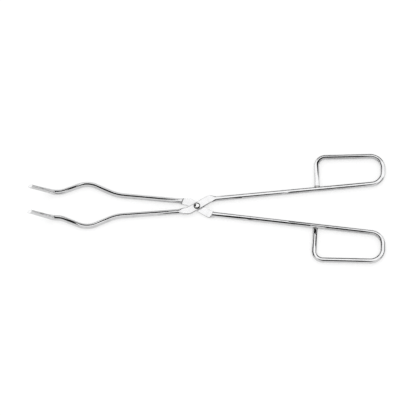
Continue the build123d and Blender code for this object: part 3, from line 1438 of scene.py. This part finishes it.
@dataclass
class PivotRivet:
    """The rivet that joins the arms, with a low domed head on top and a flared tail below."""

    wire: WireSizes = field(default_factory=WireSizes)
    lap: LapSizes = field(default_factory=LapSizes)
    sizes: RivetSizes = field(default_factory=RivetSizes)

    def profile(self) -> list[tuple[float, float]]:
        """Radius and height of the rivet's outline, from the tail to the top of the head."""
        sizes = self.sizes
        shank = sizes.diameter / 2
        flare = shank + sizes.tail_flare
        recess = sizes.tail_recess
        points = [(share * flare, recess + sizes.tail_dish * (1 - share**2)) for share in sizes.tail_shares]
        points += [(flare - sizes.tail_lip, recess + sizes.tail_lip_rise), (flare, recess + sizes.bevel_rise)]
        seat = self.wire.diameter + self.lap.clearance
        points += [(shank, recess + sizes.tail_depth), (shank, seat)]
        head = sizes.head_diameter / 2
        points += [(head - sizes.head_bevel, seat), (head, seat + sizes.bevel_rise)]
        points += [(head, seat + sizes.head_edge)]
        rise = sizes.head_height - sizes.head_edge
        dome = (head**2 + rise**2) / (2 * rise)
        for turn in np.linspace(math.asin(head / dome), sizes.dome_centre, sizes.dome_rings):
            points.append((dome * math.sin(turn), seat + sizes.head_height - dome * (1 - math.cos(turn))))
        return points

    def build(self, material: Material) -> Item:
        """Makes the rivet and dresses it.

        Args:
            material: The rivet's finish.

        Returns:
            The finished piece, riding on the lower body.
        """
        mesh = turned_solid(self.profile(), self.sizes.segments)
        places = vertex_places(mesh)
        reach = np.hypot(places[:, 0], places[:, 1])
        head = self.sizes.head_diameter / 2
        # Painted shade darkens the rim of the head.
        edge = smooth_step(head - PAINTED_SHADE_AND_SCALE.head_outer, head - PAINTED_SHADE_AND_SCALE.head_inner, reach)
        mark_surface(mesh, places, np.zeros(len(places)), edge)
        item = placed_object("pivot_rivet_head_and_tail", mesh)
        dress(mesh, material)
        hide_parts("pivot_rivet")
        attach(item, Side.LOWER.body)
        log.info("%s: head %.1f mm across", item.name, self.sizes.head_diameter)
        return item


def send_out(sketch: NodeSketch, name: str, shape: Socket, finish: Socket) -> None:
    """Gives a grown shape its finish and joins it to the tree's output of that name."""
    dressed = sketch.add("GeometryNodeSetMaterial", {"Geometry": shape, "Material": finish})
    sketch.add("NodeGroupOutput", {name: dressed.outputs[0]})


def sweep_tree() -> Tree:
    """The geometry tree that sweeps a round wire along a centre line.

    Returns:
        The tree, with Wire Radius and Facets as inputs.
    """
    tree = bpy.data.node_groups.new("sweep_wire", "GeometryNodeTree")
    add_sockets(tree, "INPUT", {
        "Centre Line": "NodeSocketGeometry",
        "Wire Radius": "NodeSocketFloat",
        "Facets": "NodeSocketInt",
        "Finish": "NodeSocketMaterial",
    })
    add_sockets(tree, "OUTPUT", {"Wire": "NodeSocketGeometry"})
    sketch = NodeSketch(tree)
    given = sketch.add("NodeGroupInput").outputs
    level = sketch.add("GeometryNodeSetCurveNormal", {"Curve": given["Centre Line"]}, mode="Z_UP")
    circle = {"Resolution": given["Facets"], "Radius": given["Wire Radius"]}
    profile = sketch.add("GeometryNodeCurvePrimitiveCircle", circle)
    swept = sketch.add(
        "GeometryNodeCurveToMesh",
        {"Curve": level.outputs[0], "Profile Curve": profile.outputs[0], "Fill Caps": True},
    )
    single = sketch.add("GeometryNodeRealizeInstances", {"Geometry": swept.outputs[0]})
    send_out(sketch, "Wire", single.outputs[0], given["Finish"])
    return tree


def teeth_tree() -> Tree:
    """The geometry tree that repeats a tooth along a jaw tip and fits it to the tip's outline.

    A tooth comes with a half width of one millimetre, and each of its points is widened to the
    oval of the tip at its place.

    Returns:
        The tree, with the number of teeth, their pitch and the tip's sizes as inputs.
    """
    tree = bpy.data.node_groups.new("repeat_teeth", "GeometryNodeTree")
    lengths = (
        "First Tooth", "Pitch", "Taper Start", "Tip Length",
        "Root Thickness", "End Thickness", "Root Width", "End Width",
    )
    add_sockets(tree, "INPUT", {"Tooth": "NodeSocketGeometry", "Teeth": "NodeSocketInt"})
    add_sockets(tree, "INPUT", {name: "NodeSocketFloat" for name in lengths})
    add_sockets(tree, "INPUT", {"Finish": "NodeSocketMaterial"})
    add_sockets(tree, "OUTPUT", {"Teeth": "NodeSocketGeometry"})
    sketch = NodeSketch(tree)
    given = sketch.add("NodeGroupInput").outputs
    places = sketch.add("GeometryNodeMeshLine", {
        "Count": given["Teeth"],
        "Start Location": sketch.vector(0.0, 0.0, given["First Tooth"]),
        "Offset": sketch.vector(0.0, 0.0, given["Pitch"]),
    })
    instances = {"Points": places.outputs[0], "Instance": given["Tooth"]}
    row = sketch.add("GeometryNodeInstanceOnPoints", instances)
    single = sketch.add("GeometryNodeRealizeInstances", {"Geometry": row.outputs[0]})

    position = sketch.add("GeometryNodeInputPosition").outputs[0]
    place = sketch.add("ShaderNodeSeparateXYZ", {0: position}).outputs
    travelled = sketch.math("SUBTRACT", place[2], given["Taper Start"])
    taper_length = sketch.math("SUBTRACT", given["Tip Length"], given["Taper Start"])
    taper = sketch.math("DIVIDE", travelled, taper_length, clamp=True)
    tapered = []
    for name in ("Thickness", "Width"):
        change = sketch.math("SUBTRACT", given[f"End {name}"], given[f"Root {name}"])
        tapered.append(sketch.math("MULTIPLY_ADD", taper, change, given[f"Root {name}"]))
    thickness, width = tapered
    ratio = sketch.math("DIVIDE", place[0], sketch.math("MULTIPLY", thickness, 0.5))
    remaining = sketch.math("SUBTRACT", 1.0, sketch.math("POWER", ratio, 2.0), clamp=True)
    half_width = sketch.math("MULTIPLY", sketch.math("MULTIPLY", width, 0.5), sketch.math("SQRT", remaining))
    unit = sketch.math("DIVIDE", place[1], MM)
    fitted = sketch.vector(place[0], sketch.math("MULTIPLY", unit, half_width), place[2])
    shaped = sketch.add("GeometryNodeSetPosition", {"Geometry": single.outputs[0], "Position": fitted})
    send_out(sketch, "Teeth", shaped.outputs[0], given["Finish"])
    return tree


@dataclass(frozen=True)
class Floor:
    """The pale sheet that the tongs lie on. The white share lifts it to the photograph's white."""

    half_size: float = 6.0
    drop: float = 0.00002
    colour: Colour = (0.86, 0.86, 0.86)
    white_share: float = 0.6
    mottle: float = 0.995
    mottle_scale: float = 4.0

    def build(self) -> Item:
        """Makes the sheet."""
        corners = [(x * self.half_size, y * self.half_size) for x, y in ((-1, -1), (1, -1), (1, 1), (-1, 1))]
        mesh = bpy.data.meshes.new("floor")
        mesh.from_pydata([(*corner, -self.drop) for corner in corners], [], [(0, 1, 2, 3)])
        material, sketch = blank_material("pale_sheet")
        tone = mottled(sketch, self.colour, self.mottle, self.mottle_scale)
        paper = sketch.add("ShaderNodeBsdfDiffuse", {"Color": tone})
        white = sketch.add("ShaderNodeEmission", {"Color": WHITE, "Strength": 1.0})
        rays = sketch.add("ShaderNodeLightPath").outputs
        seen = sketch.math("MAXIMUM", rays["Is Camera Ray"], rays["Is Glossy Ray"])
        seen = sketch.math("MAXIMUM", seen, rays["Is Transmission Ray"])
        share = sketch.math("MULTIPLY", seen, self.white_share)
        surface = sketch.add("ShaderNodeMixShader", {0: share, 1: paper.outputs[0], 2: white.outputs[0]})
        sketch.add("ShaderNodeOutputMaterial", {"Surface": surface.outputs[0]})
        mesh.materials.append(material)
        item = placed_object("floor", mesh)
        return item


@dataclass(frozen=True)
class LightTent:
    """A white light tent over the tongs, with a brighter ceiling at the back.

    Tilt is the angle from straight up towards the back, in degrees; the front is negative.
    """

    wall: float = 1.0
    ceiling: float = 1.6
    ceiling_front: float = -12.0
    ceiling_back: float = 58.0
    ceiling_softness: float = 10.0

    def build(self) -> None:
        """Sets the scene's world."""
        world = bpy.data.worlds.new("light_tent")
        world.use_nodes = True
        bpy.context.scene.world = world
        sketch = NodeSketch(world.node_tree)
        direction = sketch.add("ShaderNodeTexCoord").outputs["Generated"]
        parts = sketch.add("ShaderNodeSeparateXYZ", {0: direction}).outputs
        tilt = sketch.math("DEGREES", sketch.math("ARCTAN2", parts[1], parts[2]))
        ceiling = sketch.window(tilt, self.ceiling_front, self.ceiling_back, self.ceiling_softness)
        light = sketch.math("MULTIPLY_ADD", ceiling, self.ceiling - self.wall, self.wall)
        shade = sketch.add("ShaderNodeBackground", {"Color": WHITE, "Strength": light})
        sketch.add("ShaderNodeOutputWorld", {"Surface": shade.outputs[0]})


@dataclass(frozen=True)
class Flag:
    """A black or glowing card beside the tongs that only their reflections show."""

    name: str
    corners: tuple[tuple[float, float, float], ...]
    colour: Colour = (0.012, 0.012, 0.012)
    glow: float = 0.0
    nap: float = 1.5
    nap_scale: float = 40.0

    def build(self) -> Item:
        """Makes the card and hides it from camera, diffuse, shadow and transmission rays."""
        mesh = bpy.data.meshes.new(self.name)
        count = len(self.corners) // 2
        faces = [(row, row + 1, 2 * count - 2 - row, 2 * count - 1 - row) for row in range(count - 1)]
        mesh.from_pydata([tuple(place * MM for place in corner) for corner in self.corners], [], faces)
        material, sketch = blank_material(self.name)
        tone = mottled(sketch, self.colour, self.nap, self.nap_scale)
        cloth = sketch.add("ShaderNodeBsdfDiffuse", {"Color": tone})
        light = sketch.add("ShaderNodeEmission", {"Color": WHITE, "Strength": self.glow})
        both = sketch.add("ShaderNodeAddShader", {0: cloth.outputs[0], 1: light.outputs[0]})
        sketch.add("ShaderNodeOutputMaterial", {"Surface": both.outputs[0]})
        mesh.materials.append(material)
        item = placed_object(self.name, mesh)
        item.visible_camera = False
        item.visible_diffuse = False
        item.visible_shadow = False
        item.visible_transmission = False
        return item


def standing_card(name: str, start: Place, end: Place, low: float, high: float) -> Flag:
    """A black card that stands upright between two places on the floor.

    Args:
        name: The card's name.
        start: X and Y of its first edge.
        end: X and Y of its last edge.
        low: Height of its lower edge.
        high: Height of its upper edge.

    Returns:
        The card.
    """
    return Flag(name, ((*start, low), (*end, low), (*end, high), (*start, high)))


def level_card(name: str, back: Sequence[Place], front: Sequence[Place], height: float) -> Flag:
    """A black card that lies level over the tongs.

    Args:
        name: The card's name.
        back: X and Y along its back edge, from left to right.
        front: X and Y along its front edge, from left to right.
        height: Height above the floor.

    Returns:
        The card.
    """
    return Flag(name, tuple((x, y, height) for x, y in (*back, *reversed(front))))


# The level cards give the dark line along the wires.
LEVEL_FLAGS = (
    level_card("upper_root_flag", ((-124.0, -4.0), (-104.0, -5.0)), ((-124.0, -22.0), (-104.0, -27.0)), 17.0),
    level_card("lower_root_flag", ((-124.0, 30.0), (-104.0, 36.0)), ((-124.0, 10.0), (-104.0, 14.0)), 17.0),
    level_card(
        "jaw_flag",
        ((-103.0, 75.0), (-30.0, 75.0), (-14.0, 75.0)),
        ((-103.0, -10.0), (-30.0, -9.0), (-14.0, 30.0)),
        62.0,
    ),
    level_card(
        "middle_flag",
        ((-24.0, -22.0), (16.0, -12.0), (36.0, 0.0), (80.0, 0.0)),
        ((-24.0, -110.0), (16.0, -110.0), (36.0, -56.0), (80.0, -56.0)),
        42.0,
    ),
    level_card(
        "upper_handle_flag",
        ((80.0, 12.0), (142.0, 18.5), (158.0, 20.0)),
        ((80.0, -5.0), (142.0, 1.5), (158.0, 17.0)),
        17.0,
    ),
    level_card(
        "lower_handle_flag",
        (
            (80.0, -10.0), (95.0, -11.5), (97.0, -11.7), (108.0, -13.1),
            (110.0, -13.3), (142.0, -16.5), (156.0, -22.0),
        ),
        (
            (80.0, -27.0), (95.0, -28.5), (97.0, -19.5), (108.0, -20.5),
            (110.0, -30.0), (142.0, -33.0), (156.0, -25.0),
        ),
        17.0,
    ),
    level_card(
        "upper_loop_flag",
        ((100.0, 46.0), (112.0, 51.0), (142.0, 51.0), (156.0, 47.0)),
        ((100.0, 44.0), (112.0, 34.0), (142.0, 35.0), (156.0, 44.0)),
        17.0,
    ),
    level_card(
        "lower_loop_flag",
        ((98.0, -48.0), (110.0, -49.0), (142.0, -49.0), (156.0, -53.0)),
        ((98.0, -50.0), (110.0, -73.0), (142.0, -73.0), (156.0, -57.0)),
        17.0,
    ),
)
# The standing cards darken the sides of the wires and pads.
STANDING_FLAGS = (
    standing_card("back_flag", (10.0, 150.0), (280.0, 150.0), 2.0, 92.0),
    standing_card("right_flag", (232.0, -95.0), (232.0, 16.0), 4.0, 44.0),
    standing_card("left_flag", (42.0, -62.0), (42.0, -14.0), 10.0, 25.0),
)
# The glowing card gives the tips their nearly white end faces.
TIP_LIGHT = Flag(
    "tip_light",
    ((-190.0, -90.0, 0.5), (-190.0, 130.0, 0.5), (-190.0, 130.0, 60.0), (-190.0, -90.0, 60.0)),
    glow=1.6,
)


@dataclass(frozen=True)
class PhotoCamera:
    """The camera at the photograph's place: high in front, far away and very slightly rolled."""

    elevation: float = 74.0
    roll: float = 0.60
    distance: float = 4000.0
    pixel_size: float = 0.8555
    pivot_column: float = 196.9
    pivot_row: float = 206.5
    pivot_height: float = 2.25
    farthest: float = 100.0

    def build(self) -> None:
        """Makes the camera and gives it to the scene."""
        rise = math.radians(self.elevation)
        turn = math.radians(self.roll)
        level = Vector((1.0, 0.0, 0.0))
        upright = Vector((0.0, math.sin(rise), math.cos(rise)))
        right = level * math.cos(turn) + upright * math.sin(turn)
        up = upright * math.cos(turn) - level * math.sin(turn)
        back = right.cross(up)
        middle = PHOTO_PIXELS / 2
        target = Vector((0.0, 0.0, self.pivot_height))
        target += right * (middle - self.pivot_column) * self.pixel_size
        target -= up * (middle - self.pivot_row) * self.pixel_size
        data = bpy.data.cameras.new("photo_camera")
        data.lens = data.sensor_width * self.distance / (PHOTO_PIXELS * self.pixel_size)
        data.clip_end = self.farthest
        camera = placed_object("photo_camera", data)
        turned = Matrix((right, up, back)).transposed().to_4x4()
        camera.matrix_world = Matrix.Translation((target + back * self.distance) * MM) @ turned
        bpy.context.scene.camera = camera


def dress_frame_nodes(finishes: dict[str, Material]) -> None:
    """Gives the hidden frame nodes the finish of the pieces that stand for them."""
    for name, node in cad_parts.items():
        finish = next(material for word, material in finishes.items() if word in name)
        for slot in node.material_slots:
            slot.link = "OBJECT"
            slot.material = finish


def main() -> None:
    """Builds the tongs, the studio and the camera."""
    logging.basicConfig(level=logging.INFO, format="%(name)s: %(message)s")
    bpy.context.scene.view_settings.view_transform = "Standard"
    PhotoCamera().build()
    Floor().build()
    LightTent().build()
    for flag in (*LEVEL_FLAGS, *STANDING_FLAGS, TIP_LIGHT):
        flag.build()

    effects = SurfaceEffects()
    finishes = (POLISHED_WIRE, PRESSED_TEETH, RIVET_STEEL, WELD_GREY)
    wire, teeth, rivet, weld = (finish.material(effects) for finish in finishes)
    sweeping = sweep_tree()
    repeating = teeth_tree()
    for side in Side:
        arm = Arm(side)
        arm.build_wire(sweeping, wire)
        arm.build_teeth(repeating, teeth)
        arm.build_weld(weld)
    PivotRivet().build(rivet)
    dress_frame_nodes({"arm": wire, "rivet": rivet, "weld": weld})


if __name__ == "__main__":
    main()
